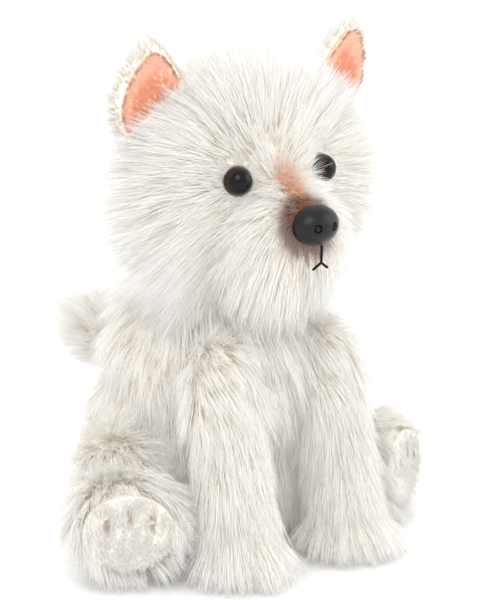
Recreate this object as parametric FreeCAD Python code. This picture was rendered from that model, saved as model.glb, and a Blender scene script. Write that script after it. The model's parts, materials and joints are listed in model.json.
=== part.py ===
import FreeCAD, Part
import math
import os
from FreeCAD import Matrix, Placement, Rotation, Vector

# A sitting plush dog. Millimetres, +Z up, the dog faces -Y, its left side is +X.
# The origin is on the floor, under the middle of the seat.
# Every pelt is a shell: its inner face is the fabric backing, its outer face is the
# mean surface of the long pile. The stuffing fills the shell.

# ---- Driving dimensions ----
PILE = 9.0                  # depth of pile and backing on the body, head and haunches
LEG_PILE = 8.0              # the same on the forelegs
TAIL_PILE = 6.0
SEAT_PILE = 5.0             # pressed flat where the toy stands on it
BACKING = 1.2               # woven backing alone, where the pile is trimmed away
LAYER_FIT = 0.3             # between stuffing and pelt
JOINT_GAP = 0.6             # between two bodies that move past each other
SEAM_FIT = 0.2              # round a thread

NECK_HEIGHT = 150.0         # plane of the neck seam

# Torso: a chest and a wider seat, flat underneath.
CHEST_CENTRE = Vector(0, 6, 104)
CHEST_RADII = Vector(66, 58, 68)
SEAT_CENTRE = Vector(0, 20, 55)
SEAT_RADII = Vector(76, 64, 78)
SEAT_SEAM_HEIGHT = 14.0
SIDE_SEAM_Y = -12.0
PELLET_BAG_CENTRE = Vector(0, 16, 31)
PELLET_BAG_RADII = Vector(40, 42, 20)
BAG_CLOTH = 0.8
NECK_THREAD_RING = 43.0     # radius of the neck seam
NECK_THREAD = 0.8
NECK_SEAM_DEPTH = 4.0       # below the neck plane
CLOSING_STITCHES = 7
CLOSING_FIRST_HEIGHT = 34.0
CLOSING_PITCH = 5.0
CLOSING_STITCH_LENGTH = 7.0
CLOSING_THREAD = 0.5

# Head
SKULL_CENTRE = Vector(0, -26, 207)
SKULL_RADII = Vector(80, 58, 70)
SKULL_CORE_CENTRE = Vector(0, -15, 206)
SKULL_CORE_RADII = Vector(64, 36, 60)
FACE_Y = -62.0              # the pile of the face is trimmed back to this plane
MUZZLE_CENTRE = Vector(0, -58, 184)
MUZZLE_RADII = Vector(46, 28, 32)
MUZZLE_CORE_CENTRE = Vector(0, -48, 188)
MUZZLE_CORE_RADII = Vector(33, 28, 25)
GUSSET_HALF_WIDTH = 24.0
CHIN_SEAM_HEIGHT = 176.0

# Face hardware
EYE_CENTRE = Vector(28.8, -49.5, 217)
EYE_AXIS = Vector(0.35, -0.93, 0.1).normalize()
EYE_RADIUS = 7.8
EYE_BACK = 2.0              # flat back of the dome, behind its centre
EYE_DIMPLE = 1.5            # ring of trimmed pile round an eye
SHANK_RADIUS = 1.8
SHANK_LENGTH = 11.0
WASHER_RADIUS = 7.5
WASHER_THICKNESS = 1.6
NOSE_CENTRE = Vector(0, -79, 194.5)
NOSE_RADII = Vector(14, 10.5, 11)
NOSE_BACK_Y = -76.2
NOSTRIL_RADIUS = 2.4
NOSTRIL_OFFSET = 5.6
MOUTH_TOP = Vector(0, -84.6, 184.5)
MOUTH_FORK = Vector(0, -84.2, 175.0)
MOUTH_CORNER = Vector(5.0, -83.2, 171.5)
MOUTH_THREAD = 0.7

# Ears: a leaf that stands on a sewn-in root along the hinge line.
EAR_HINGE = Vector(55.8, -19.2, 254.1)
EAR_ALONG = Vector(0.73, 0.26, -0.63).normalize()       # along the base, outwards and down
EAR_RISE = Vector(0.647, -0.1, 0.759)
EAR_ROOT_RADIUS = 5.4
EAR_ROOT_SPAN = (-19.0, 25.0)
EAR_LEAF_BACK = -4.0        # pile side, behind the hinge line
EAR_LEAF_FRONT = 1.0
EAR_LINING = 2.0
EAR_OUTLINE = ((-18.0, 0.0), (-19.5, 18.0), (-17.0, 36.0), (6.0, 32.0), (22.0, 18.0), (24.5, 0.0))
EAR_LINING_INSET = 0.88     # the lining is this much smaller than the leaf

# Forelegs: a round shoulder, a tapered column and a paw.
SHOULDER = Vector(36, -42, 112)
SHOULDER_RADIUS = 23.0
WRIST = Vector(37, -62, 22)
WRIST_RADIUS = 21.5
PAW_CENTRE = Vector(37, -63, 15)
PAW_RADII = Vector(27, 28, 21)
PAW_BASE_HEIGHT = 1.0
FORELEG_NOTCH_X = (12.2, 60.2)      # the body is cut away behind a foreleg between these
FORELEG_NOTCH_TOP_Y = -16.0
FORELEG_NOTCH_FOOT_Y = -34.0

# Hind legs: the haunch is round about the hip axis, the foot is a barrel that points
# forwards and outwards and ends in the sole.
HIP = Vector(72, 2, 42)
HAUNCH_RADII = Vector(24, 38, 38)
ANKLE = Vector(74, -4, 34)
FOOT_SPLAY = 30.8           # degrees outwards from straight ahead
FOOT_MIDDLE = 27.0          # distance of the foot's middle from the ankle
FOOT_RADII = Vector(36, 32, 34)     # half width, half height, half length
HIND_SEAM_TURN = 180.0       # both surface seams lie on the inner side
FOOT_END = 53.0             # the pile ends here, round the sole
FOOT_SEAM = 22.0            # distance of the ankle seam
HIP_NOTCH_X = 51.0          # the flank is cut back to this plane in front of the hip
HIP_NOTCH_TOP = 96.0
SOLE_DISTANCE = 46.0
SOLE_THICKNESS = 3.0
SOLE_HALF_WIDTH = 24.5
SOLE_HALF_HEIGHT = 20.0

# Tail: a teardrop that leans back, up and a little to the dog's right.
TAIL_ROOT = Vector(0, 80, 88)
TAIL_ROOT_RADIUS = 13.0
TAIL_SIDE_ANGLE = 20.0
TAIL_RISE_ANGLE = 26.0
TAIL_MIDDLE = 32.0          # distance of the thickest part from the root
TAIL_RADII = Vector(22, 22, 26)
TAIL_NECK_RADIUS = 11.5

REACH = 400.0               # larger than the whole toy


# ---- Shape helpers ----
def ellipsoid(centre, radii, seam_turn=0.0):
    """A solid ellipsoid with its axes along X, Y and Z, and its surface's seam turned about Z from +X."""
    stretch = Matrix()
    stretch.scale(radii.x, radii.y, radii.z)
    sphere = Part.makeSphere(1.0)
    sphere.rotate(Vector(0, 0, 0), Vector(0, 0, 1), seam_turn)
    shape = sphere.transformGeometry(stretch)
    shape.translate(centre)
    return shape


def shrunk(radii, inset):
    return radii - Vector(inset, inset, inset)


def oval_disc(centre, half_width, half_depth, thickness):
    """A flat disc in a plane of constant Z, extruded along +Z."""
    stretch = Matrix()
    stretch.scale(half_width, half_depth, 1.0)
    disc = Part.makeCylinder(1.0, thickness).transformGeometry(stretch)
    disc.translate(centre)
    return disc


def taper(start, start_radius, end, end_radius):
    """A straight cone between two points."""
    run = end - start
    return Part.makeCone(start_radius, end_radius, run.Length, start, run)


def box_between(low, high):
    size = high - low
    return Part.makeBox(size.x, size.y, size.z, low)


def slab_x(low, high):
    return box_between(Vector(low, -REACH, -REACH), Vector(high, REACH, REACH))


def slab_y(low, high):
    return box_between(Vector(-REACH, low, -REACH), Vector(REACH, high, REACH))


def slab_z(low, high):
    return box_between(Vector(-REACH, -REACH, low), Vector(REACH, REACH, high))


def rod(start, end, radius):
    """A straight cylinder between two points."""
    run = end - start
    return Part.makeCylinder(radius, run.Length, start, run)


def mirrored(shape):
    """The same piece on the dog's right side."""
    return shape.mirror(Vector(0, 0, 0), Vector(1, 0, 0))


def flipped(point):
    return Vector(-point.x, point.y, point.z)


def largest_solid(shape):
    return max(shape.Solids, key=lambda solid: solid.Volume)


def save(name, shape):
    shape.exportStep(os.path.join("parts", name + ".step"))
    solids = len(shape.Solids)
    print("%-24s %d solid(s) %9.1f mm3 valid %s" % (name, solids, shape.Volume, shape.isValid()))


def save_pair(name, shape):
    """Writes the left piece and its mirror image."""
    save(name + "_left", shape)
    save(name + "_right", mirrored(shape))


# ---- Ears ----
def ear_frame():
    """Places a flat outline: local X along the base, local Y up the leaf, local Z forwards."""
    forwards = EAR_ALONG.cross(EAR_RISE).normalize()
    rise = forwards.cross(EAR_ALONG).normalize()
    axes = Matrix(
        EAR_ALONG.x, rise.x, forwards.x, EAR_HINGE.x,
        EAR_ALONG.y, rise.y, forwards.y, EAR_HINGE.y,
        EAR_ALONG.z, rise.z, forwards.z, EAR_HINGE.z,
        0, 0, 0, 1)
    return Placement(axes)


def ear_leaf(outline, back, front):
    """A leaf with a straight base and one smooth edge over the tip."""
    points = [Vector(x, y, back) for x, y in outline]
    edge = Part.BSplineCurve()
    edge.interpolate(points)
    base = Part.makeLine(points[-1], points[0])
    face = Part.Face(Part.Wire([edge.toShape(), base]))
    return face.extrude(Vector(0, 0, front - back))


def ear_root(extra):
    start = Vector(EAR_ROOT_SPAN[0] - extra, 0, 0)
    end = Vector(EAR_ROOT_SPAN[1] + extra, 0, 0)
    return rod(start, end, EAR_ROOT_RADIUS + extra)


def ear_channel():
    """The groove in the head that the root of the left ear lies in."""
    shape = ear_root(JOINT_GAP)
    shape.Placement = ear_frame()
    return shape


def build_ears():
    frame = ear_frame()
    leaf = ear_leaf(EAR_OUTLINE, EAR_LEAF_BACK, EAR_LEAF_FRONT)
    back = leaf.fuse(ear_root(0))
    inset = [(x * EAR_LINING_INSET, y * EAR_LINING_INSET) for x, y in EAR_OUTLINE]
    lining = ear_leaf(inset, EAR_LEAF_FRONT, EAR_LEAF_FRONT + EAR_LINING)
    lining = largest_solid(lining.cut(ear_root(LAYER_FIT)))
    back.Placement = frame
    lining.Placement = frame
    save_pair("ear_back", back)
    save_pair("ear_lining", lining)


# ---- Head ----
def eye_parts():
    """The left eye with its shank, and the lock washer behind the backing."""
    back_plane = EYE_CENTRE - EYE_AXIS * EYE_BACK
    front = Part.makeCylinder(REACH / 4, REACH / 4, back_plane, EYE_AXIS)
    dome = Part.makeSphere(EYE_RADIUS, EYE_CENTRE).common(front)
    shank = rod(back_plane + EYE_AXIS, back_plane - EYE_AXIS * SHANK_LENGTH, SHANK_RADIUS)
    washer_face = back_plane - EYE_AXIS * (BACKING + LAYER_FIT)
    washer_back = washer_face - EYE_AXIS * WASHER_THICKNESS
    washer = rod(washer_face, washer_back, WASHER_RADIUS)
    washer = washer.cut(rod(washer_face, washer_back, SHANK_RADIUS))
    return dome.fuse(shank), washer


def eye_clearance():
    """What the left eye and its shank need in the pelt: a dimple and a small hole."""
    back_plane = EYE_CENTRE - EYE_AXIS * EYE_BACK
    dimple = rod(back_plane, back_plane + EYE_AXIS * REACH / 8, EYE_RADIUS + EYE_DIMPLE)
    hole = rod(back_plane, back_plane - EYE_AXIS * SHANK_LENGTH, SHANK_RADIUS)
    return dimple.fuse(hole)


def nose_parts():
    """The moulded nose with its shank and nostrils, and its lock washer."""
    nose = ellipsoid(NOSE_CENTRE, NOSE_RADII).common(slab_y(-REACH, NOSE_BACK_Y))
    front_y = NOSE_CENTRE.y - NOSE_RADII.y
    for side in (-1, 1):
        dent = Part.makeSphere(NOSTRIL_RADIUS, Vector(side * NOSTRIL_OFFSET, front_y + 0.8, NOSE_CENTRE.z))
        nose = nose.cut(dent)
    neck = Vector(0, NOSE_BACK_Y, NOSE_CENTRE.z)
    shank = rod(neck - Vector(0, 1, 0), neck + Vector(0, SHANK_LENGTH, 0), SHANK_RADIUS)
    washer_face = neck + Vector(0, BACKING + LAYER_FIT, 0)
    washer_back = washer_face + Vector(0, WASHER_THICKNESS, 0)
    washer = rod(washer_face, washer_back, WASHER_RADIUS)
    washer = washer.cut(rod(washer_face, washer_back, SHANK_RADIUS))
    return nose.fuse(shank), washer


def nose_clearance():
    recess = ellipsoid(NOSE_CENTRE, NOSE_RADII + Vector(1, 1, 1)).common(slab_y(-REACH, NOSE_BACK_Y))
    neck = Vector(0, NOSE_BACK_Y, NOSE_CENTRE.z)
    hole = rod(neck, neck + Vector(0, SHANK_LENGTH, 0), SHANK_RADIUS)
    return recess.fuse(hole)


def mouth_line(radius):
    """The mouth thread: one line down from the nose that forks to both corners."""
    line = rod(MOUTH_TOP, MOUTH_FORK, radius)
    line = line.fuse(Part.makeSphere(radius, MOUTH_FORK))
    for corner in (MOUTH_CORNER, flipped(MOUTH_CORNER)):
        line = line.fuse(rod(MOUTH_FORK, corner, radius))
    return line


def head_core(inset):
    skull = ellipsoid(SKULL_CORE_CENTRE, shrunk(SKULL_CORE_RADII, inset))
    muzzle = ellipsoid(MUZZLE_CORE_CENTRE, shrunk(MUZZLE_CORE_RADII, inset))
    return skull.fuse(muzzle).cut(slab_z(-REACH, NECK_HEIGHT))


def head_shell():
    """All head pelts in one piece, with room for the ears, eyes, nose and mouth thread."""
    skull = ellipsoid(SKULL_CENTRE, SKULL_RADII).cut(slab_y(-REACH, FACE_Y))
    muzzle = ellipsoid(MUZZLE_CENTRE, MUZZLE_RADII)
    shell = skull.fuse(muzzle).cut(slab_z(-REACH, NECK_HEIGHT)).cut(head_core(0))
    for clearance in (ear_channel(), eye_clearance(), eye_parts()[1]):
        shell = shell.cut(clearance).cut(mirrored(clearance))
    shell = shell.cut(nose_clearance()).cut(nose_parts()[1])
    return shell.cut(mouth_line(MOUTH_THREAD + SEAM_FIT))


def build_head():
    shell = head_shell()
    middle = shell.common(slab_x(-GUSSET_HALF_WIDTH, GUSSET_HALF_WIDTH))
    front = slab_y(-REACH, SKULL_CORE_CENTRE.y)
    below_mouth = front.common(slab_z(-REACH, CHIN_SEAM_HEIGHT))
    side = shell.common(slab_x(GUSSET_HALF_WIDTH, REACH))
    save("head_gusset", largest_solid(middle.cut(below_mouth)))
    save("chin_panel", largest_solid(middle.common(below_mouth)))
    save_pair("head_side", largest_solid(side))
    eye, eye_washer = eye_parts()
    nose, nose_washer = nose_parts()
    stuffing = head_core(LAYER_FIT)
    for hardware in (eye, eye_washer):
        stuffing = stuffing.cut(hardware).cut(mirrored(hardware))
    stuffing = stuffing.cut(nose).cut(nose_washer)
    save("head_stuffing", largest_solid(stuffing))
    save_pair("eye", eye)
    save_pair("eye_washer", eye_washer)
    save("nose", nose)
    save("nose_washer", nose_washer)
    save("mouth_stitch", mouth_line(MOUTH_THREAD))


# ---- Forelegs ----
def foreleg_form(inset, base_lift):
    """The left foreleg: a tapered column between a round shoulder and a paw."""
    shoulder = Part.makeSphere(SHOULDER_RADIUS - inset, SHOULDER)
    column = taper(SHOULDER, SHOULDER_RADIUS - inset, WRIST, WRIST_RADIUS - inset)
    paw = ellipsoid(PAW_CENTRE, shrunk(PAW_RADII, inset))
    base = slab_z(-REACH, PAW_BASE_HEIGHT + base_lift)
    return shoulder.fuse(column).fuse(paw).cut(base)


def build_forelegs():
    shell = foreleg_form(0, 0).cut(foreleg_form(LEG_PILE, SEAT_PILE))
    save_pair("foreleg_outer", largest_solid(shell.common(slab_x(SHOULDER.x, REACH))))
    save_pair("foreleg_inner", largest_solid(shell.common(slab_x(-REACH, SHOULDER.x))))
    save_pair("foreleg_stuffing", foreleg_form(LEG_PILE + LAYER_FIT, SEAT_PILE + LAYER_FIT))


# ---- Hind legs ----
def foot_frame():
    """Local Z runs from the ankle out through the sole, local Y is up."""
    splay = math.radians(FOOT_SPLAY)
    ahead = Vector(math.sin(splay), -math.cos(splay), 0)
    sideways = Vector(0, 0, 1).cross(ahead)
    axes = Matrix(
        sideways.x, 0, ahead.x, ANKLE.x,
        sideways.y, 0, ahead.y, ANKLE.y,
        sideways.z, 1, ahead.z, ANKLE.z,
        0, 0, 0, 1)
    return Placement(axes)


def foot_barrel(inset, end_inset):
    barrel = ellipsoid(Vector(0, 0, FOOT_MIDDLE), shrunk(FOOT_RADII, inset), HIND_SEAM_TURN)
    barrel = barrel.cut(slab_z(FOOT_END - end_inset, REACH))
    barrel.Placement = foot_frame()
    return barrel


def sole_disc(extra, start, end):
    half_width = SOLE_HALF_WIDTH + extra
    half_height = SOLE_HALF_HEIGHT + extra
    disc = oval_disc(Vector(0, 0, start), half_width, half_height, end - start)
    disc.Placement = foot_frame().multiply(disc.Placement)
    return disc


def hindleg_form(inset, end_inset):
    haunch = ellipsoid(HIP, shrunk(HAUNCH_RADII, inset), HIND_SEAM_TURN)
    return haunch.fuse(foot_barrel(inset, end_inset))


def beyond_foot_seam():
    shape = Part.makeBox(REACH, REACH, REACH, Vector(-REACH / 2, -REACH / 2, FOOT_SEAM))
    shape.Placement = foot_frame()
    return shape


def build_hindlegs():
    core_end = FOOT_END - SOLE_DISTANCE
    opening = sole_disc(LAYER_FIT, SOLE_DISTANCE - SOLE_THICKNESS, SOLE_DISTANCE + PILE * 2)
    shell = hindleg_form(0, 0).cut(hindleg_form(PILE, core_end)).cut(opening)
    foot_side = beyond_foot_seam()
    save_pair("foot_pelt", largest_solid(shell.common(foot_side)))
    save_pair("haunch_pelt", largest_solid(shell.cut(foot_side)))
    sole_back = SOLE_DISTANCE - SOLE_THICKNESS
    save_pair("sole_pad", sole_disc(0, sole_back, SOLE_DISTANCE))
    stuffing = hindleg_form(PILE + LAYER_FIT, core_end)
    stuffing = stuffing.cut(sole_disc(LAYER_FIT, sole_back - LAYER_FIT, SOLE_DISTANCE + PILE))
    save_pair("hindleg_stuffing", largest_solid(stuffing))


# ---- Tail ----
def tail_frame():
    """Local Z runs out along the tail."""
    turn = Rotation(Vector(0, 0, 1), TAIL_SIDE_ANGLE)
    lean = Rotation(Vector(1, 0, 0), TAIL_RISE_ANGLE - 90.0)
    return Placement(TAIL_ROOT, turn.multiply(lean))


def tail_form(inset):
    middle = Vector(0, 0, TAIL_MIDDLE)
    teardrop = ellipsoid(middle, shrunk(TAIL_RADII, inset))
    neck = taper(Vector(0, 0, 0), TAIL_NECK_RADIUS - inset, middle, TAIL_RADII.x - inset - 1)
    teardrop = teardrop.fuse(neck)
    teardrop.Placement = tail_frame()
    return teardrop.fuse(Part.makeSphere(TAIL_ROOT_RADIUS - inset, TAIL_ROOT))


def build_tail():
    shell = tail_form(0).cut(tail_form(TAIL_PILE))
    upper = Part.makeBox(REACH, REACH, REACH, Vector(-REACH / 2, 0, -REACH / 2))
    upper.Placement = tail_frame()
    save("tail_pelt_upper", largest_solid(shell.common(upper)))
    save("tail_pelt_lower", largest_solid(shell.cut(upper)))
    save("tail_stuffing", tail_form(TAIL_PILE + LAYER_FIT))


# ---- Torso ----
def torso_form(inset, seat_lift):
    chest = ellipsoid(CHEST_CENTRE, shrunk(CHEST_RADII, inset))
    seat = ellipsoid(SEAT_CENTRE, shrunk(SEAT_RADII, inset))
    above_neck = slab_z(NECK_HEIGHT - JOINT_GAP, REACH)
    return chest.fuse(seat).cut(above_neck).cut(slab_z(-REACH, seat_lift))


def foreleg_notch():
    """The room in front of a sloping plane, so that a foreleg hangs and swings clear."""
    near, far = FORELEG_NOTCH_X
    top_back = Vector(near, FORELEG_NOTCH_TOP_Y, SHOULDER.z)
    foot_back = Vector(near, FORELEG_NOTCH_FOOT_Y, -PILE)
    foot_front = Vector(near, -REACH, -PILE)
    top_front = Vector(near, -REACH, SHOULDER.z)
    outline = Part.makePolygon([top_back, foot_back, foot_front, top_front, top_back])
    return Part.Face(outline).extrude(Vector(far - near, 0, 0))


def hip_notch():
    """The room beside the belly, so that a foot lifts clear."""
    return box_between(Vector(HIP_NOTCH_X, -REACH, -PILE), Vector(REACH, HIP.y, HIP_NOTCH_TOP))


def limb_pockets():
    """What the tail, the shoulders and the hips need, with the running gap round them."""
    tail = Part.makeSphere(TAIL_ROOT_RADIUS + JOINT_GAP, TAIL_ROOT)
    shoulder = Part.makeSphere(SHOULDER_RADIUS + JOINT_GAP, SHOULDER)
    haunch = ellipsoid(HIP, shrunk(HAUNCH_RADII, -JOINT_GAP))
    pockets = [tail]
    for room in (shoulder.fuse(foreleg_notch()), haunch.fuse(hip_notch())):
        pockets += [room, mirrored(room)]
    return pockets


def closing_seam(radius):
    """Ladder stitches across the closing slit, low on the middle of the back."""
    stitches = []
    for number in range(CLOSING_STITCHES):
        height = CLOSING_FIRST_HEIGHT + number * CLOSING_PITCH
        y = SEAT_CENTRE.y + SEAT_RADII.y - PILE + BACKING + CLOSING_THREAD
        half = CLOSING_STITCH_LENGTH / 2 + radius - CLOSING_THREAD
        stitches.append(rod(Vector(-half, y, height), Vector(half, y, height), radius))
    return Part.makeCompound(stitches)


def neck_seam(radius):
    """The thread that closes the neck, just under the neck plane."""
    height = NECK_HEIGHT - NECK_SEAM_DEPTH
    centre = Vector(0, CHEST_CENTRE.y, height)
    return Part.makeTorus(NECK_THREAD_RING, radius, centre)


def build_torso():
    shell = torso_form(0, 0).cut(torso_form(PILE, SEAT_PILE))
    stuffing = torso_form(PILE + LAYER_FIT, SEAT_PILE + LAYER_FIT)
    for pocket in limb_pockets():
        shell = shell.cut(pocket)
        stuffing = stuffing.cut(pocket)
    shell = shell.cut(neck_seam(NECK_THREAD + SEAM_FIT)).cut(closing_seam(CLOSING_THREAD + SEAM_FIT))
    seat = slab_z(-REACH, SEAT_SEAM_HEIGHT)
    above_seat = shell.cut(seat)
    front = slab_y(-REACH, SIDE_SEAM_Y)
    back = above_seat.cut(front)
    save("seat_panel", largest_solid(shell.common(seat)))
    save("chest_panel", largest_solid(above_seat.common(front)))
    save("back_panel_left", largest_solid(back.common(slab_x(0, REACH))))
    save("back_panel_right", largest_solid(back.common(slab_x(-REACH, 0))))
    save("neck_seam", neck_seam(NECK_THREAD))
    save("closing_seam", closing_seam(CLOSING_THREAD))
    bag = ellipsoid(PELLET_BAG_CENTRE, PELLET_BAG_RADII)
    pellets = ellipsoid(PELLET_BAG_CENTRE, shrunk(PELLET_BAG_RADII, BAG_CLOTH))
    save("body_stuffing", largest_solid(stuffing.cut(ellipsoid(PELLET_BAG_CENTRE,
                                                               shrunk(PELLET_BAG_RADII, -LAYER_FIT)))))
    save("pellet_bag", bag.cut(pellets))
    save("pellet_fill", ellipsoid(PELLET_BAG_CENTRE, shrunk(PELLET_BAG_RADII, BAG_CLOTH + LAYER_FIT)))


os.makedirs("parts", exist_ok=True)
build_torso()
build_head()
build_ears()
build_forelegs()
build_hindlegs()
build_tail()
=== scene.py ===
import json
import math

import bmesh
import bpy
import numpy as np
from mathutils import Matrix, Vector
from mathutils.bvhtree import BVHTree
from mathutils.kdtree import KDTree


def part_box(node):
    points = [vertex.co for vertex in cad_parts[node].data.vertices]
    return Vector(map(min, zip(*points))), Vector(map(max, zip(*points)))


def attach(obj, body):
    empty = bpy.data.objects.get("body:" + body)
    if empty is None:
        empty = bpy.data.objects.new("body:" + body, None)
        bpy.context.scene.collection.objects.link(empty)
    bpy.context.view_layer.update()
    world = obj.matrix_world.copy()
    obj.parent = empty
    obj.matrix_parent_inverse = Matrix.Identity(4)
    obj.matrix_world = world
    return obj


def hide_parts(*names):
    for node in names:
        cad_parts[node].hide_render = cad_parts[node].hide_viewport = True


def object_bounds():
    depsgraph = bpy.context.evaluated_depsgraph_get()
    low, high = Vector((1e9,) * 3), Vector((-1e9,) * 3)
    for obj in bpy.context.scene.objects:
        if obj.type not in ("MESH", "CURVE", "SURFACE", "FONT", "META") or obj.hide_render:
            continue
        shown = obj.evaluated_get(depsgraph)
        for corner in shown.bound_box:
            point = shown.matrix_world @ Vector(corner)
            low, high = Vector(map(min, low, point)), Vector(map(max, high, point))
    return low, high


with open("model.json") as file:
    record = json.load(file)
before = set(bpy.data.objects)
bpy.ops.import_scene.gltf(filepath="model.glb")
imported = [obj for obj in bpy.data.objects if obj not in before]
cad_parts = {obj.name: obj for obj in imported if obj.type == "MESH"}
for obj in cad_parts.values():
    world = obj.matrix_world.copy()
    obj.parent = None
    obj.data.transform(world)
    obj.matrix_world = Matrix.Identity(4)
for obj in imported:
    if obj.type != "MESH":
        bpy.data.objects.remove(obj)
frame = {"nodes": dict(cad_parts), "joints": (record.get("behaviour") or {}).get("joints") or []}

CAD_LOW, CAD_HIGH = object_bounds()
MM = 0.001
SEED = 20
SIDES = ("left", "right")


# ---- Places, all read from the frame ----
def box_middle(node):
    low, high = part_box(node)
    return (low + high) / 2


def joint_place(name):
    joint = next(j for j in frame["joints"] if j["name"] == name)
    return Vector(joint["pos_m"]), Vector(joint["axis"])


NOSE_LOW, NOSE_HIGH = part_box("nose")
NOSE_MIDDLE = (np.array(NOSE_LOW) + np.array(NOSE_HIGH)) / 2


def eye_centre(side):
    """Centre of an eye's dome: the box of an eye runs from the dome's front to the shank's end."""
    low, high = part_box("eye_" + side)
    radius = (high.z - low.z) / 2
    outer = high.x - radius if side == "left" else low.x + radius
    return np.array((outer, low.y + radius, (low.z + high.z) / 2)), radius


EYES = {side: eye_centre(side) for side in SIDES}


# ---- Camera, floor and light ----
def add_camera():
    """Looks down at the toy's right front. The sensor's 36 mm span the picture's longer side, its height."""
    azimuth = math.radians(-38)
    elevation = math.radians(14)
    distance = 1.5
    target = Vector((0, -0.020, 0.142))
    back = Vector((math.sin(azimuth) * math.cos(elevation),
                   -math.cos(azimuth) * math.cos(elevation),
                   math.sin(elevation)))
    data = bpy.data.cameras.new("camera")
    data.sensor_width = 36.0
    picture_height = 0.330
    data.lens = data.sensor_width * distance / picture_height
    camera = bpy.data.objects.new("camera", data)
    camera.location = target + back * distance
    camera.rotation_euler = (-back).to_track_quat("-Z", "Y").to_euler()
    bpy.context.scene.collection.objects.link(camera)
    bpy.context.scene.camera = camera


def area_light(name, place, aim, size, power):
    data = bpy.data.lights.new(name, "AREA")
    data.shape = "DISK"
    data.size = size
    data.energy = power
    light = bpy.data.objects.new(name, data)
    light.location = place
    light.rotation_euler = (Vector(aim) - Vector(place)).to_track_quat("-Z", "Y").to_euler()
    bpy.context.scene.collection.objects.link(light)


def new_material(name):
    material = bpy.data.materials.new(name)
    material.use_nodes = True
    return material, material.node_tree.nodes, material.node_tree.links


def add_stage():
    """A pale floor under an even white sky, with a key, a fill and a rim light."""
    mesh = bpy.data.meshes.new("floor")
    half = 6.0
    corners = [(-half, -half, 0), (half, -half, 0), (half, half, 0), (-half, half, 0)]
    mesh.from_pydata(corners, [], [(0, 1, 2, 3)])
    floor = bpy.data.objects.new("floor", mesh)
    bpy.context.scene.collection.objects.link(floor)
    material, nodes, _ = new_material("pale_floor")
    shader = principled(nodes, Roughness=0.8)
    shader.inputs["Base Color"].default_value = (0.9, 0.9, 0.9, 1)
    mesh.materials.append(material)
    world = bpy.data.worlds.new("world")
    world.use_nodes = True
    background = world.node_tree.nodes["Background"]
    background.inputs["Color"].default_value = (1, 1, 1, 1)
    background.inputs["Strength"].default_value = 1.25
    bpy.context.scene.world = world
    chest = (0, 0, 0.15)
    area_light("key", (-1.2, -1.4, 1.8), chest, size=1.6, power=20)
    area_light("fill", (1.6, -1.2, 0.9), chest, size=1.6, power=9)
    area_light("rim", (0.6, 1.6, 1.4), chest, size=1.2, power=12)
    bpy.context.scene.view_settings.view_transform = "Standard"


# ---- Skins: closed stuffed forms under the fur ----
CLOTH_PRESSURE = 4.0
CLOTH_FRAMES = 20
SMOOTHING = 6


def object_of(name, mesh):
    piece = bpy.data.objects.new(name, mesh)
    bpy.context.scene.collection.objects.link(piece)
    return piece


def applied(piece):
    """The piece's mesh with its modifiers applied and taken off."""
    graph = bpy.context.evaluated_depsgraph_get()
    mesh = bpy.data.meshes.new_from_object(piece.evaluated_get(graph))
    piece.modifiers.clear()
    piece.data = mesh
    return piece


def coordinates(mesh):
    points = np.empty(len(mesh.vertices) * 3, np.float32)
    mesh.vertices.foreach_get("co", points)
    return points.reshape(-1, 3).astype(float)


def puff(piece, cap):
    """Blows the skin up as cloth, and holds each point within cap of where it was."""
    rest = coordinates(piece.data)
    cloth = piece.modifiers.new("cloth", "CLOTH")
    cloth.settings.use_pressure = True
    cloth.settings.uniform_pressure_force = CLOTH_PRESSURE
    cloth.settings.effector_weights.gravity = 0
    for step in range(1, CLOTH_FRAMES + 1):
        bpy.context.scene.frame_set(step)
    applied(piece)
    bpy.context.scene.frame_set(1)
    move = coordinates(piece.data) - rest
    length = np.linalg.norm(move, axis=1, keepdims=True)
    move *= np.minimum(1.0, cap / np.maximum(length, 1e-9))
    piece.data.vertices.foreach_set("co", (rest + move).astype(np.float32).ravel())


def skin_of(name, body, nodes, replaced, voxel=5 * MM, cap=3 * MM):
    """One closed skin round the nodes, puffed by at most cap, that stands for the replaced nodes."""
    form = bmesh.new()
    for node in nodes:
        form.from_mesh(frame["nodes"][node].data)
    mesh = bpy.data.meshes.new(name)
    form.to_mesh(mesh)
    form.free()
    piece = object_of(name, mesh)
    remesh = piece.modifiers.new("remesh", "REMESH")
    remesh.mode = "VOXEL"
    remesh.voxel_size = voxel
    applied(piece)
    puff(piece, cap)
    smooth = piece.modifiers.new("smooth", "SMOOTH")
    smooth.iterations = SMOOTHING
    applied(piece)
    piece.data.materials.clear()
    piece.data.materials.append(MATERIALS["backing"])
    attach(piece, body)
    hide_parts(*replaced)
    return piece


# ---- Fur ----
RINGS = 5                      # cross-sections along one hair, the tip included
TIP_SHARE = 0.35               # thickness of the last full ring against the root's
STRANDS_PER_PIECE = 9000
SHORTEST = 0.5 * MM
FRIZZ = 0.045                  # how far a tip strays, against the hair's length
KINK = 0.012                   # the same for each ring by itself
EYE_GAP = 1.0 * MM
FLOOR_GAP = 0.6 * MM
ROOM = 14 * MM                 # how far hair may stand outside the CAD box


def unit(vectors):
    length = np.linalg.norm(vectors, axis=-1, keepdims=True)
    return vectors / np.maximum(length, 1e-9)


def tangent(vectors, normals):
    """The part of each vector that lies in the surface."""
    return vectors - normals * np.sum(vectors * normals, axis=-1, keepdims=True)


def ramp(values, start, end):
    """0 before start, 1 after end, smooth between."""
    t = np.clip((values - start) / (end - start), 0, 1)
    return t * t * (3 - 2 * t)


def mix(a, b, share):
    share = np.asarray(share)
    if share.ndim < np.ndim(a):
        share = share[..., None]
    return a * (1 - share) + b * share


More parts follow.
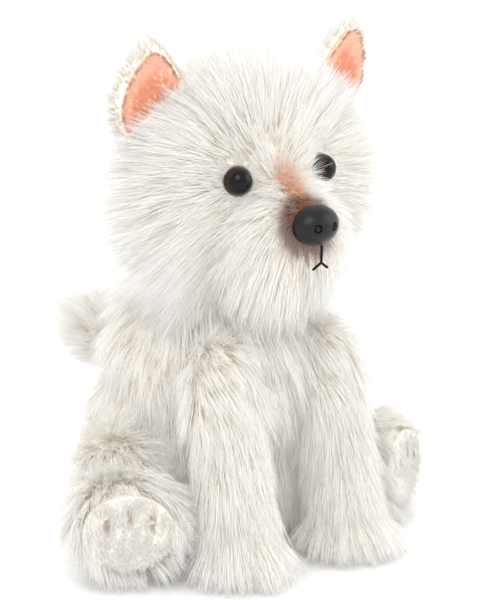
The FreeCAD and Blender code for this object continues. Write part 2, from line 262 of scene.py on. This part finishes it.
def surface_of(piece):
    """Triangle corners and their normals."""
    mesh = piece.data
    mesh.calc_loop_triangles()
    corners = np.empty(len(mesh.loop_triangles) * 3, np.int32)
    mesh.loop_triangles.foreach_get("vertices", corners)
    corners = corners.reshape(-1, 3)
    points = coordinates(mesh)
    normals = np.empty(len(mesh.vertices) * 3, np.float32)
    mesh.vertex_normals.foreach_get("vector", normals)
    normals = normals.reshape(-1, 3).astype(float)
    return points[corners], normals[corners]


def scatter(surface, count, rng):
    """Random roots spread evenly over the surface, and the normal at each."""
    corners, normals = surface
    area = np.linalg.norm(np.cross(corners[:, 1] - corners[:, 0], corners[:, 2] - corners[:, 0]), axis=1)
    pick = rng.choice(len(area), count, p=area / area.sum())
    a = rng.random((count, 1))
    b = rng.random((count, 1))
    over = a + b > 1
    a = np.where(over, 1 - a, a)
    b = np.where(over, 1 - b, b)
    weights = np.stack((1 - a - b, a, b), axis=1)
    roots = np.sum(corners[pick] * weights, axis=1)
    return roots, unit(np.sum(normals[pick] * weights, axis=1))


def grow(surface, count, coat, rng, wild):
    """Curved guide hairs: out of the skin at the coat's lift, along its comb, drooping under gravity."""
    roots, normals = scatter(surface, count, rng)
    comb, length, lift, droop = coat(roots, normals)
    alive = length > SHORTEST
    roots, normals, comb = roots[alive], normals[alive], comb[alive]
    length, lift, droop = length[alive], lift[alive], droop[alive]
    comb = unit(tangent(comb, normals)) + rng.normal(0, wild, roots.shape)
    comb = unit(tangent(comb, normals))
    length = length * rng.uniform(0.85, 1.12, len(roots))
    steps = np.linspace(0, 1, RINGS)
    points = [roots]
    for number in range(1, RINGS):
        s = (steps[number] + steps[number - 1]) / 2
        angle = lift * (1 - 0.55 * s)
        heading = comb * np.cos(angle)[:, None] + normals * np.sin(angle)[:, None]
        heading = heading + np.array((0, 0, -1.0)) * (droop * s)[:, None]
        stride = length * (steps[number] - steps[number - 1])
        points.append(points[-1] + unit(heading) * stride[:, None])
    return np.stack(points, axis=1), normals


def gather(hairs, leaders, strength):
    """Bends each hair towards its nearest leader, more at the tip, so that locks form."""
    tree = KDTree(len(leaders))
    for number, root in enumerate(leaders[:, 0]):
        tree.insert(root, number)
    tree.balance()
    nearest = np.array([tree.find(root)[1] for root in hairs[:, 0]])
    share = (strength * np.linspace(0, 1, RINGS) ** 1.3)[None, :, None]
    return hairs * (1 - share) + leaders[nearest] * share


def split(leaders, normals, per, spread, strength, rng):
    """Every leader becomes a wisp of hairs that starts spread wide and closes towards the tip."""
    count = len(leaders)
    side = unit(np.cross(normals, rng.normal(size=normals.shape)))
    other = np.cross(normals, side)
    angle = rng.uniform(0, 2 * math.pi, (count, per))
    radius = spread * np.sqrt(rng.random((count, per)))
    across = side[:, None] * (radius * np.cos(angle))[..., None]
    across = across + other[:, None] * (radius * np.sin(angle))[..., None]
    steps = np.linspace(0, 1, RINGS)
    share = 1 - strength * steps ** 1.2
    reach = rng.uniform(0.66, 1.06, (count, per, 1, 1))
    root = leaders[:, None, :1]
    hairs = root + (leaders[:, None] - root) * reach + across[:, :, None] * share[:, None]
    length = np.linalg.norm(leaders[:, -1] - leaders[:, 0], axis=1)[:, None, None, None]
    frizz = rng.normal(0, FRIZZ, (count, per, 1, 3)) * steps[:, None] * length
    frizz = frizz + rng.normal(0, KINK, (count, per, RINGS, 3)) * steps[:, None] * length
    return (hairs + frizz).reshape(count * per, RINGS, 3)


def keep_clear(hairs):
    """Pushes hairs off the eyes and up from the floor, and keeps them near the CAD box."""
    for centre, radius in EYES.values():
        clear = radius + EYE_GAP
        offset = hairs - centre
        distance = np.linalg.norm(offset, axis=-1, keepdims=True)
        pushed = centre + offset / np.maximum(distance, 1e-9) * clear
        hairs = np.where(distance < clear, pushed, hairs)
    hairs = np.clip(hairs, np.array(CAD_LOW) - ROOM, np.array(CAD_HIGH) + ROOM)
    hairs[..., 2] = np.maximum(hairs[..., 2], FLOOR_GAP)
    return hairs


def hair_mesh(name, hairs, radius, colours):
    """One closed three-sided spike per hair, coloured at each ring."""
    count = len(hairs)
    along = np.gradient(hairs, axis=1)
    along = unit(along)
    helper = unit(np.random.default_rng(SEED).normal(size=(count, 1, 3)))
    side = unit(np.cross(along, helper))
    up = np.cross(along, side)
    taper = np.linspace(1, TIP_SHARE, RINGS - 1) * radius
    turn = np.arange(3) * 2 * math.pi / 3
    rings = hairs[:, :-1, None] + taper[None, :, None, None] * (
        side[:, :-1, None] * np.cos(turn)[:, None] + up[:, :-1, None] * np.sin(turn)[:, None])
    tips = hairs[:, -1:]
    rings = rings.reshape(count, -1, 3)
    vertices = np.concatenate((rings, tips), axis=1)
    each = vertices.shape[1]
    faces = [(0, 2, 1)]
    quads = []
    for ring in range(RINGS - 2):
        for corner in range(3):
            a = ring * 3 + corner
            b = ring * 3 + (corner + 1) % 3
            quads.append((a, b, b + 3, a + 3))
    last = (RINGS - 2) * 3
    for corner in range(3):
        faces.append((last + corner, last + (corner + 1) % 3, each - 1))
    loops = np.array([i for f in quads for i in f] + [i for f in faces for i in f])
    sizes = np.array([4] * len(quads) + [3] * len(faces))
    all_loops = (loops[None] + (np.arange(count) * each)[:, None]).ravel()
    starts = np.concatenate(([0], np.cumsum(np.tile(sizes, count))[:-1]))
    mesh = bpy.data.meshes.new(name)
    mesh.vertices.add(count * each)
    mesh.vertices.foreach_set("co", vertices.astype(np.float32).ravel())
    mesh.loops.add(len(all_loops))
    mesh.loops.foreach_set("vertex_index", all_loops.astype(np.int32))
    mesh.polygons.add(count * len(sizes))
    mesh.polygons.foreach_set("loop_start", starts.astype(np.int32))
    mesh.update(calc_edges=True)
    tint = np.repeat(colours[:, :-1], 3, axis=1)
    tint = np.concatenate((tint, colours[:, -1:]), axis=1)
    tint = np.concatenate((tint, np.ones(tint.shape[:2] + (1,))), axis=2)
    layer = mesh.color_attributes.new("tint", "FLOAT_COLOR", "POINT")
    layer.data.foreach_set("color", tint.astype(np.float32).ravel())
    unfold(mesh, count, loops)
    return mesh


def unfold(mesh, count, loops):
    """Gives each hair its own cell of the texture, the root at the cell's bottom and the tip at its top."""
    columns = math.ceil(math.sqrt(count))
    corner = np.tile((0.15, 0.5, 0.85), RINGS - 1)
    height = np.repeat(np.linspace(0.1, 0.8, RINGS - 1), 3)
    place = np.stack((np.append(corner, 0.5), np.append(height, 0.95)), axis=1)[loops]
    number = np.arange(count)
    cell = np.stack((number % columns, number // columns), axis=1)
    layer = mesh.uv_layers.new(name="OFBake")
    layer.data.foreach_set("uv", ((cell[:, None] + place) / columns).astype(np.float32).ravel())


def paint(red, green, blue):
    """A colour given as a screen shows it, as linear light."""
    shown = np.array((red, green, blue)) / 255
    return np.where(shown <= 0.04045, shown / 12.92, ((shown + 0.055) / 1.055) ** 2.4)


# The root colour is a warmer cream than the tip. It is partly the pile's own cream near the roots and partly
# painted warm shade for the deep, crowded part of the fur.
ROOT_CREAM_AND_SHADE = paint(247, 240, 226)
TIP_COLOUR = paint(250, 249, 246)
BROWN = paint(122, 72, 44)
ORANGE = paint(222, 170, 134)
CORAL = paint(246, 164, 126)
PINK = paint(254, 208, 184)


def white_fur(hairs, rng):
    # Cream at the root fading to white by 0.7 of the hair's length: partly the pile's own colour, partly
    # painted shade deep in the pile.
    steps = np.linspace(0, 1, RINGS)
    share = ramp(steps, 0.0, 0.7)[None, :] * np.ones((len(hairs), 1))
    return mix(ROOT_CREAM_AND_SHADE, TIP_COLOUR, share[..., None]) * rng.uniform(0.95, 1.0, (len(hairs), 1, 1))


def head_fur(hairs, rng):
    """White, with the airbrushed brown round the nose and the orange line up the bridge."""
    colour = white_fur(hairs, rng)
    root = hairs[:, 0]
    from_nose = np.linalg.norm((root - NOSE_MIDDLE) * (1, 0.6, 1), axis=1)
    rim = 1 - ramp(from_nose, 13 * MM, 18 * MM)
    height = NOSE_MIDDLE[2]
    above = ramp(root[:, 2], height, height + 8 * MM)
    above = above * (1 - ramp(root[:, 2], height + 18 * MM, height + 34 * MM))
    line = (1 - ramp(np.abs(root[:, 0]), 2.0 * MM, 6.5 * MM)) * above * (root[:, 1] < -30 * MM)
    colour = mix(colour, ORANGE, (0.8 * line)[:, None, None])
    return mix(colour, BROWN, (0.85 * rim)[:, None, None])


def add_fur(name, body, skin, coat, rng, locks, wisps, per, spread, radius=0.18 * MM,
            colours=white_fur, hold=0.3, close=0.35):
    """Grows wisps of per hairs each, held to their nearest lock and closing towards the tip."""
    surface = surface_of(skin)
    lock, _ = grow(surface, locks, coat, rng, wild=0.16)
    wisp, normals = grow(surface, wisps, coat, rng, wild=0.12)
    wisp = gather(wisp, lock, hold)
    hairs = keep_clear(split(wisp, normals, per, spread, close, rng))
    for part, start in enumerate(range(0, len(hairs), STRANDS_PER_PIECE)):
        some = hairs[start:start + STRANDS_PER_PIECE]
        mesh = hair_mesh(name, some, radius, colours(some, rng))
        mesh.materials.append(MATERIALS["fur"])
        piece = object_of("%s_%d" % (name, part + 1), mesh)
        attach(piece, body)


# ---- Coats: comb direction, length, lift and droop at each root ----
DOWN = np.array((0.0, 0.0, -1.0))
FORWARDS = np.array((0.0, -1.0, 0.0))
STEEP = math.radians(62)


def near_eyes(p, start, end):
    """0 close to an eye and 1 away from both."""
    share = np.ones(len(p))
    for centre, radius in EYES.values():
        share = np.minimum(share, ramp(np.linalg.norm(p - centre, axis=1), radius + start, radius + end))
    return share


# The head's zones: where one kind of hair begins and where it has fully taken over.
BRIDGE_FROM_NOSE = (0, 20 * MM, 14 * MM)   # the parting from which the head's hair fans out
MUZZLE_EDGE = (26 * MM, 44 * MM)           # distance from the parting
BEHIND_EARS = (-10 * MM, 18 * MM)          # along y
CROWN = (232 * MM, 258 * MM)               # height
NAPE = (165 * MM, 195 * MM)                # height
CHEEK = (28 * MM, 48 * MM)                 # out to either side
FACE_LENGTH = 17 * MM
BRIDGE_LENGTH = 8 * MM
CROWN_LENGTH = 33 * MM
BACK_LENGTH = 19 * MM
BEARD_LENGTH = 58 * MM
CHEEK_LENGTH = 38 * MM


def head_coat(p, n):
    """Hair fans out from the bridge, parts over the muzzle, and hangs at the back and in the beard."""
    x, y, z = p.T
    height = NOSE_MIDDLE[2]
    bridge = NOSE_MIDDLE + BRIDGE_FROM_NOSE
    away = p - bridge
    distance = np.linalg.norm(away, axis=1)
    outward = np.sign(x) * ramp(np.abs(x), 0, 8 * MM)
    low = 1 - ramp(z, height - 22 * MM, height + 8 * MM)
    parted = np.stack((outward * (1 - 0.75 * low), 0.2 + 0 * x, -0.35 - 1.1 * low), axis=1)
    comb = unit(tangent(away, n))
    muzzle = 1 - ramp(distance, *MUZZLE_EDGE)
    muzzle = muzzle * (1 - ramp(z, height + 16 * MM, height + 26 * MM))
    comb = mix(comb, unit(tangent(parted, n)), muzzle)
    behind = ramp(y, *BEHIND_EARS)
    comb = mix(comb, unit(tangent(DOWN + 0 * n, n)), behind)
    length = FACE_LENGTH + 15 * MM * ramp(distance, 10 * MM, 46 * MM)
    crown = ramp(z, *CROWN)
    length = mix(length, CROWN_LENGTH, crown)
    nape = 1 - ramp(z, *NAPE)
    length = mix(length, BACK_LENGTH + 17 * MM * nape, behind)
    beard = ramp(-z, -190 * MM, -166 * MM) * ramp(-y, 5 * MM, 35 * MM)
    length = mix(length, BEARD_LENGTH, beard)
    line = (1 - ramp(np.abs(x), 2 * MM, 7 * MM)) * ramp(z, height, height + 6 * MM)
    line = line * (1 - ramp(distance, 18 * MM, 30 * MM))
    length = mix(length, BRIDGE_LENGTH, line)
    eye_height = EYES["left"][0][2]
    above = ramp(z, eye_height - 2 * MM, eye_height + 6 * MM)
    length = length * mix(mix(0.4, 0.2, above), 1.0, near_eyes(p, 1 * MM, 13 * MM))
    rim = np.linalg.norm((p - NOSE_MIDDLE) * (1, 0.4, 1), axis=1)
    length = length * mix(0.35, 1.0, ramp(rim, 13 * MM, 21 * MM))
    cheek = ramp(np.abs(x), *CHEEK) * (1 - ramp(y, -22 * MM, 0))
    length = mix(length, CHEEK_LENGTH, cheek * (1 - crown) * near_eyes(p, 6 * MM, 22 * MM))
    lift = math.radians(38) + math.radians(24) * cheek
    lift = mix(lift, math.radians(66), crown * (1 - behind))
    lift = mix(STEEP + 0 * lift, lift, ramp(distance, 5 * MM, 16 * MM))
    lift = mix(lift, math.radians(24), beard)
    return comb, length, lift, 0.25 + 0.5 * beard


def face_coat(p, n):
    """Short, close hair on the muzzle and round the eyes, under the long hair."""
    comb, length, lift, droop = head_coat(p, n)
    close = ramp(-np.linalg.norm(p - NOSE_MIDDLE, axis=1), -46 * MM, -34 * MM)
    close = np.maximum(close, 1 - near_eyes(p, 8 * MM, 20 * MM))
    short = np.minimum(length, 8 * MM)
    short = np.maximum(short, 4 * MM * near_eyes(p, 0.5 * MM, 4 * MM))
    return comb, np.where(close > 0.4, short, 0), lift, 0 * droop


def outer_coat(p, n):
    """More of the long hair where the cheeks, the crown and the beard make the head's outline."""
    comb, length, lift, droop = head_coat(p, n)
    cheek = ramp(np.abs(p[:, 0]), 28 * MM, 40 * MM) * (1 - ramp(p[:, 1], -18 * MM, 0))
    crown = ramp(p[:, 2], 236 * MM, 252 * MM)
    beard = (1 - ramp(p[:, 2], 176 * MM, 190 * MM)) * ramp(-p[:, 1], 25 * MM, 40 * MM)
    outer = np.maximum(np.maximum(cheek, crown), beard)
    return comb, np.where(outer > 0.5, length * 1.06, 0), lift, droop


def stand_up(lift, n):
    """Hair stands steeper on top, where a downward comb has no direction to follow."""
    return mix(lift, STEEP, ramp(n[:, 2], 0.45, 0.92))


def torso_coat(p, n):
    """Hanging hair, longest over the shoulders and shorter where it would reach the floor."""
    behind = ramp(p[:, 1], -5 * MM, 20 * MM)[:, None]
    outward = unit((p - np.array(box_middle("body_stuffing"))) * (1, 1, 0))
    comb = DOWN + mix(0.25 * FORWARDS + 0 * n, 0.3 * outward, behind)
    length = 26 * MM + 12 * MM * ramp(-p[:, 1], 10 * MM, 30 * MM)
    length = mix(length, 16 * MM, ramp(-p[:, 2], -32 * MM, -8 * MM))
    shoulder = ramp(p[:, 2], 108 * MM, 124 * MM)
    length = mix(length, 42 * MM, shoulder * ramp(-p[:, 1], 5 * MM, 20 * MM))
    length = mix(length, 36 * MM, shoulder * behind[:, 0])
    lift = mix(math.radians(28) + 0 * length, math.radians(46), shoulder)
    return comb, length, stand_up(lift, n), 0.5 + 0.3 * shoulder


def leg_coat(side):
    """Hair hangs down the foreleg and flares over the paw, and runs forwards over the shoulder."""
    axis = np.array(box_middle("foreleg_stuffing_" + side))

    def coat(p, n):
        round_leg = (p - axis) * (1, 1, 0)
        flare = 1 - ramp(p[:, 2], 24 * MM, 72 * MM)
        ahead = 0.25 + 2.6 * ramp(p[:, 2], 88 * MM, 112 * MM)
        comb = DOWN + ahead[:, None] * FORWARDS + unit(round_leg) * (0.9 * flare)[:, None]
        length = 35 * MM + 0 * p[:, 0]
        length = mix(length, 22 * MM, ramp(-p[:, 2], -24 * MM, -6 * MM))
        length = mix(length, 22 * MM, ramp(p[:, 2], 100 * MM, 116 * MM))
        lift = stand_up(math.radians(32) + math.radians(10) * flare, n)
        return comb, length, lift, 0.6 + 0.3 * flare
    return coat


def sole_frame(side):
    """The sole's middle and the way it faces."""
    low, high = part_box("sole_pad_" + side)
    sole = np.array((low + high) / 2)
    middle = np.array(box_middle("hindleg_stuffing_" + side))
    ahead = unit((sole - middle) * (1, 1, 0))
    return sole, ahead


def hindleg_coat(side):
    """Hair runs towards the foot and flares round the sole, which it leaves bare."""
    sole, ahead = sole_frame(side)

    def coat(p, n):
        offset = p - sole
        depth = offset @ ahead
        round_foot = offset - depth[:, None] * ahead
        radius = np.linalg.norm(round_foot, axis=1)
        rim = ramp(depth, -24 * MM, -4 * MM)
        comb = mix(ahead + 0.45 * DOWN + 0 * n, ahead + 0.8 * unit(round_foot), rim)
        length = mix(27 * MM + 0 * depth, 24 * MM, rim)
        inside = (depth > -9 * MM) & (radius < 21 * MM)
        length = np.where(inside, 0, length)
        return comb, length, stand_up(math.radians(34) + 0 * length, n), 0.3 + 0.6 * rim
    return coat


def tail_coat(p, n):
    """Hair runs to the tail's end, and stands up at its root to hide the join."""
    root, _ = joint_place("tail_wag")
    middle = np.array(box_middle("tail_stuffing"))
    ahead = unit(middle - np.array(root))
    length = 22 * MM + 0 * p[:, 0]
    join = 1 - ramp((p - np.array(root)) @ ahead, 4 * MM, 16 * MM)
    return ahead + 0 * n, length, mix(math.radians(34), math.radians(60), join), 0.1 + 0 * length


def ear_frame(side):
    """The fold line's middle, the way up the ear, and the way its lining faces."""
    hinge, along = joint_place("ear_fold_" + side)
    hinge, along = np.array(hinge), unit(np.array(along))
    rise = np.array(box_middle("ear_back_" + side)) - hinge
    rise = unit(rise - along * (rise @ along))
    front = np.cross(along, rise)
    return hinge, rise, front * -np.sign(front[1])


def ear_coat(side):
    """White plush on the back and round the rim, but not under the lining."""
    hinge, rise, front = ear_frame(side)
    lining = frame["nodes"]["ear_lining_" + side].data
    polygons = [tuple(face.vertices) for face in lining.polygons]
    tree = BVHTree.FromPolygons([vertex.co for vertex in lining.vertices], polygons)

    def coat(p, n):
        gap = np.array([tree.find_nearest(point)[3] for point in p])
        comb = unit(p - hinge + rise * 4 * MM) + 0.25 * rise
        length = np.where((gap < 1.0 * MM) & (n @ front > 0.3), 0, 10 * MM)
        return comb, length, math.radians(30) + 0 * length, 0 * length
    return coat


def lining_coat(side):
    """Short pile that lies up the ear, on the lining's face only."""
    _, rise, front = ear_frame(side)

    def coat(p, n):
        length = np.where(n @ front < 0.6, 0, 3.2 * MM)
        return rise + 0 * n, length, math.radians(17) + 0 * length, 0 * length
    return coat


def lining_fur(side):
    """Pink, coral in the middle, with brown airbrushed along both edges and the tip."""
    hinge, rise, front = ear_frame(side)
    lining = frame["nodes"]["ear_lining_" + side].data
    reach = max((coordinates(lining) - hinge) @ rise)
    walls = [tuple(face.vertices) for face in lining.polygons if abs(face.normal @ Vector(front)) < 0.3]
    tree = BVHTree.FromPolygons([vertex.co for vertex in lining.vertices], walls)

    def colours(hairs, rng):
        root = hairs[:, 0]
        up = (root - hinge) @ rise / reach
        inset = np.array([tree.find_nearest(point)[3] for point in root])
        edge = (1 - ramp(inset, 0.4 * MM, 2.6 * MM)) * ramp(up, 0.2, 0.4)
        heart = ramp(inset, 3 * MM, 9 * MM) * (1 - ramp(up, 0.5, 0.8))
        colour = mix(PINK + np.zeros((len(hairs), 3)), CORAL, heart)
        colour = mix(colour, BROWN, 0.7 * edge) * rng.uniform(0.93, 1.03, (len(hairs), 1))
        return np.repeat(colour[:, None], RINGS, axis=1)
    return colours


def sole_coat(side):
    """Short pile that lies down the sole, on its outer face only."""
    _, ahead = sole_frame(side)

    def coat(p, n):
        length = np.where(n @ ahead < 0.5, 0, 4 * MM)
        return DOWN + 0 * n, length, math.radians(38) + 0 * length, 0 * length
    return coat


def sole_fur(side):
    """White, with three short brown toe marks under the top edge."""
    sole, ahead = sole_frame(side)
    across = unit(np.cross(ahead, (0, 0, 1.0)))

    def colours(hairs, rng):
        offset = hairs[:, 0] - sole
        u = offset @ across
        v = offset[:, 2]
        mark = np.zeros(len(hairs))
        for toe in (-12 * MM, 0, 12 * MM):
            top = 15 * MM - abs(toe) * 0.35
            wide = 1 - ramp(np.abs(u - toe), 0.6 * MM, 2.4 * MM)
            tall = 1 - ramp(np.abs(v - top + 4 * MM), 2.5 * MM, 5.5 * MM)
            mark = np.maximum(mark, wide * tall)
        colour = mix(white_fur(hairs, rng), mix(BROWN, ORANGE, 0.35), (0.6 * mark)[:, None, None])
        return colour * 0.9
    return colours


# ---- Materials ----
def principled(nodes, **sockets):
    shader = nodes["Principled BSDF"]
    for name, value in sockets.items():
        shader.inputs[name.replace("_", " ")].default_value = value
    return shader


def make_fur():
    """White pile whose colour is on each hair; a faint glow stands for light scattered between hairs."""
    material, nodes, links = new_material("long_white_pile")
    shader = principled(nodes, Roughness=0.75, Specular_IOR_Level=0.12)
    shader.inputs["Emission Color"].default_value = (1.0, 0.975, 0.94, 1)
    shader.inputs["Emission Strength"].default_value = 0.07
    tint = nodes.new("ShaderNodeAttribute")
    tint.attribute_name = "tint"
    links.new(tint.outputs["Color"], shader.inputs["Base Color"])
    return material


def mottled(name, first, second, scale, roughness, specular=0.3, bump=0.0):
    """Two close colours in a fine noise, with the same noise as relief."""
    material, nodes, links = new_material(name)
    shader = principled(nodes, Roughness=roughness, Specular_IOR_Level=specular)
    place = nodes.new("ShaderNodeTexCoord")
    noise = nodes.new("ShaderNodeTexNoise")
    noise.inputs["Scale"].default_value = scale
    noise.inputs["Detail"].default_value = 4
    links.new(place.outputs["Object"], noise.inputs["Vector"])
    colours = nodes.new("ShaderNodeValToRGB")
    colours.color_ramp.elements[0].position = 0.35
    colours.color_ramp.elements[1].position = 0.65
    colours.color_ramp.elements[0].color = (*first, 1)
    colours.color_ramp.elements[1].color = (*second, 1)
    links.new(noise.outputs["Fac"], colours.inputs["Fac"])
    links.new(colours.outputs["Color"], shader.inputs["Base Color"])
    if bump:
        relief = nodes.new("ShaderNodeBump")
        relief.inputs["Strength"].default_value = bump
        relief.inputs["Distance"].default_value = 0.2 * MM
        links.new(noise.outputs["Fac"], relief.inputs["Height"])
        links.new(relief.outputs["Normal"], shader.inputs["Normal"])
    return material


# The colour sockets of a Mix node, whose names are shared with its number and vector sockets.
MIX_A, MIX_B, MIX_RESULT = 6, 7, 2


def make_head_backing():
    """The undercoat, browned round the nose and orange on the bridge as the hair over it is."""
    material = mottled("head_undercoat", paint(246, 240, 228), paint(250, 246, 238), 900, 0.9, 0.1, 0.4)
    nodes, links = material.node_tree.nodes, material.node_tree.links
    place = next(node for node in nodes if node.bl_idname == "ShaderNodeTexCoord")
    cream = next(node for node in nodes if node.bl_idname == "ShaderNodeValToRGB")
    nose = box_middle("nose")
    bridge = nose + Vector((0, 16 * MM, 20 * MM))
    spots = ((bridge, ORANGE, 9 * MM, 17 * MM), (nose, BROWN, 16 * MM, 24 * MM))
    below = cream.outputs["Color"]
    for middle, colour, near, far in spots:
        distance = nodes.new("ShaderNodeVectorMath")
        distance.operation = "DISTANCE"
        distance.inputs[1].default_value = middle
        links.new(place.outputs["Object"], distance.inputs[0])
        fade = nodes.new("ShaderNodeMapRange")
        fade.inputs["From Min"].default_value = near
        fade.inputs["From Max"].default_value = far
        links.new(distance.outputs["Value"], fade.inputs["Value"])
        blend = nodes.new("ShaderNodeMix")
        blend.data_type = "RGBA"
        links.new(fade.outputs["Result"], blend.inputs["Factor"])
        blend.inputs[MIX_A].default_value = (*colour, 1)
        links.new(below, blend.inputs[MIX_B])
        below = blend.outputs[MIX_RESULT]
    links.new(below, nodes["Principled BSDF"].inputs["Base Color"])
    return material


def make_eye(side):
    """Black gloss with a dark brown ring round the pupil, centred on the front of the dome."""
    material, nodes, links = new_material("eye_gloss_" + side)
    shader = principled(nodes, Roughness=0.04, Specular_IOR_Level=0.22)
    centre, radius = EYES[side]
    outward = unit(centre - np.array(box_middle("eye_washer_" + side)))
    place = nodes.new("ShaderNodeTexCoord")
    distance = nodes.new("ShaderNodeVectorMath")
    distance.operation = "DISTANCE"
    distance.inputs[1].default_value = tuple(centre + outward * radius)
    links.new(place.outputs["Object"], distance.inputs[0])
    span = nodes.new("ShaderNodeMapRange")
    span.inputs["From Max"].default_value = radius * 1.3
    links.new(distance.outputs["Value"], span.inputs["Value"])
    ring = nodes.new("ShaderNodeValToRGB")
    stops = ((0.0, (0.001, 0.001, 0.001)), (0.62, (0.001, 0.001, 0.001)), (0.74, (0.035, 0.014, 0.006)),
             (0.9, (0.02, 0.008, 0.004)), (1.0, (0.002, 0.002, 0.002)))
    while len(ring.color_ramp.elements) < len(stops):
        ring.color_ramp.elements.new(0.5)
    for element, (position, colour) in zip(ring.color_ramp.elements, stops):
        element.position = position
        element.color = (*colour, 1)
    links.new(span.outputs["Result"], ring.inputs["Fac"])
    links.new(ring.outputs["Color"], shader.inputs["Base Color"])
    return material


def make_materials():
    return {
        "fur": make_fur(),
        "backing": mottled("undercoat", paint(246, 240, 228), paint(250, 246, 238), 900, 0.9, 0.1, 0.4),
        "head_backing": make_head_backing(),
        "eye_left": make_eye("left"),
        "eye_right": make_eye("right"),
        "nose": mottled("nose_satin", (0.003, 0.003, 0.004), (0.006, 0.006, 0.007), 600, 0.33, 0.3, 0.15),
        "thread": mottled("mouth_thread", (0.006, 0.003, 0.002), (0.02, 0.01, 0.006), 3000, 0.8, 0.1, 0.5),
        "pink": mottled("ear_pink_backing", paint(246, 184, 154), paint(250, 200, 172), 700, 0.9, 0.1, 0.4),
        "sole": mottled("sole_backing", paint(232, 228, 220), paint(238, 234, 228), 800, 0.9, 0.1, 0.4),
        "washer": mottled("washer_white", paint(214, 214, 208), paint(222, 222, 216), 400, 0.5, 0.4, 0.1),
        "cloth": mottled("bag_cloth", paint(216, 212, 200), paint(228, 224, 214), 1500, 0.95, 0.1, 0.6),
    }


def finish_node(node, material):
    piece = frame["nodes"][node]
    piece.data.materials.clear()
    piece.data.materials.append(MATERIALS[material])


# ---- Build. add_fur's numbers are: locks, wisps, hairs in a wisp, and how far a wisp spreads ----
FINE = 0.14 * MM
FINEST = 0.12 * MM

add_camera()
add_stage()
MATERIALS = make_materials()
rng = np.random.default_rng(SEED)
head = skin_of("head_skin", "head", ["head_stuffing"],
               ["head_gusset", "head_side_left", "head_side_right", "chin_panel", "head_stuffing"])
torso = skin_of("torso_skin", "torso", ["body_stuffing"],
                ["chest_panel", "back_panel_left", "back_panel_right", "seat_panel", "body_stuffing",
                 "neck_seam"])
head.data.materials[0] = MATERIALS["head_backing"]
add_fur("head_fur", "head", head, head_coat, rng, 900, 6200, 7, 3.0 * MM, colours=head_fur)
add_fur("outer_fur", "head", head, outer_coat, rng, 900, 7000, 7, 3.0 * MM)
add_fur("face_fur", "head", head, face_coat, rng, 3000, 9000, 6, 1.6 * MM, FINE, head_fur)
add_fur("torso_fur", "torso", torso, torso_coat, rng, 500, 4700, 7, 3.6 * MM)
for side in SIDES:
    foreleg, hindleg, ear = ("%s_%s" % (body, side) for body in ("foreleg", "hindleg", "ear"))
    names = ["foreleg_%s_%s" % (part, side) for part in ("outer", "inner", "stuffing")]
    skin = skin_of("foreleg_skin_" + side, foreleg, names[2:], names)
    add_fur("foreleg_fur_" + side, foreleg, skin, leg_coat(side), rng, 160, 1800, 7, 3.4 * MM)
    names = ["hindleg_stuffing_" + side, "haunch_pelt_" + side, "foot_pelt_" + side]
    skin = skin_of("hindleg_skin_" + side, hindleg, names[:1], names, cap=1 * MM)
    add_fur("hindleg_fur_" + side, hindleg, skin, hindleg_coat(side), rng, 180, 2000, 7, 3.4 * MM)
    names = ["ear_back_" + side]
    skin = skin_of("ear_skin_" + side, ear, names, names, voxel=1.5 * MM, cap=0.3 * MM)
    add_fur("ear_fur_" + side, ear, skin, ear_coat(side), rng, 200, 1300, 8, 1.3 * MM, FINE)
    lining = frame["nodes"]["ear_lining_" + side]
    add_fur("ear_lining_fur_" + side, ear, lining, lining_coat(side), rng, 200, 1400, 8, 1.0 * MM,
            FINEST, lining_fur(side))
    sole = frame["nodes"]["sole_pad_" + side]
    add_fur("sole_fur_" + side, hindleg, sole, sole_coat(side), rng, 200, 1500, 8, 1.0 * MM,
            FINE, sole_fur(side), hold=0.0, close=0.0)
    finish_node("eye_" + side, "eye_" + side)
    finish_node("sole_pad_" + side, "sole")
    finish_node("ear_lining_" + side, "pink")
    finish_node("eye_washer_" + side, "washer")
tail = skin_of("tail_skin", "tail", ["tail_stuffing"],
               ["tail_stuffing", "tail_pelt_upper", "tail_pelt_lower"])
add_fur("tail_fur", "tail", tail, tail_coat, rng, 80, 850, 7, 3 * MM)
finish_node("nose", "nose")
finish_node("mouth_stitch", "thread")
finish_node("nose_washer", "washer")
for node in ("pellet_bag", "pellet_fill", "closing_seam"):
    finish_node(node, "cloth")
